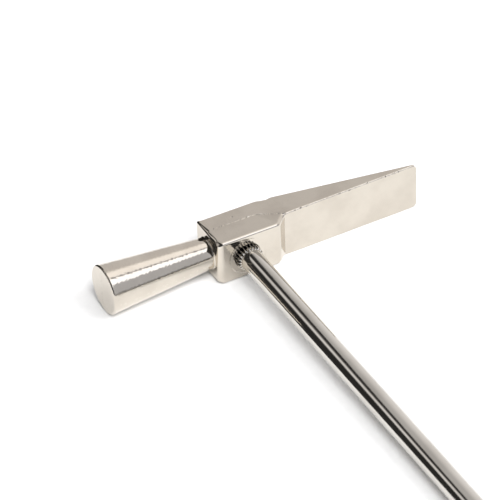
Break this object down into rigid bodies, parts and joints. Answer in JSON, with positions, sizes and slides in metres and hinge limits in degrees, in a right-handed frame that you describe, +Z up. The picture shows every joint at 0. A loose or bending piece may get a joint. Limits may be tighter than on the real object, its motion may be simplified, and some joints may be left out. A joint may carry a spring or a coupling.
{
  "type": "reflex hammer",
  "caption": "Small all-metal hammer: a head with a flared round striking end and a straight wedge, pressed onto a slim plain rod handle.",
  "frame": {"origin": "centre of the round striking face", "axes": "+X along the head's axis, from the striking face towards the wedge's edge; -Y along the handle, from the head to its free end; +Z up, with the hammer lying on its side"},
  "size_m": [0.0889, 0.1716, 0.0136],
  "materials": {
    "plated_casting": "satin",
    "plated_bar": "polished"
  },
  "bodies": {
    "root": {"head": "plated_casting", "handle_rod": "plated_bar"}
  },
  "joints": []
}
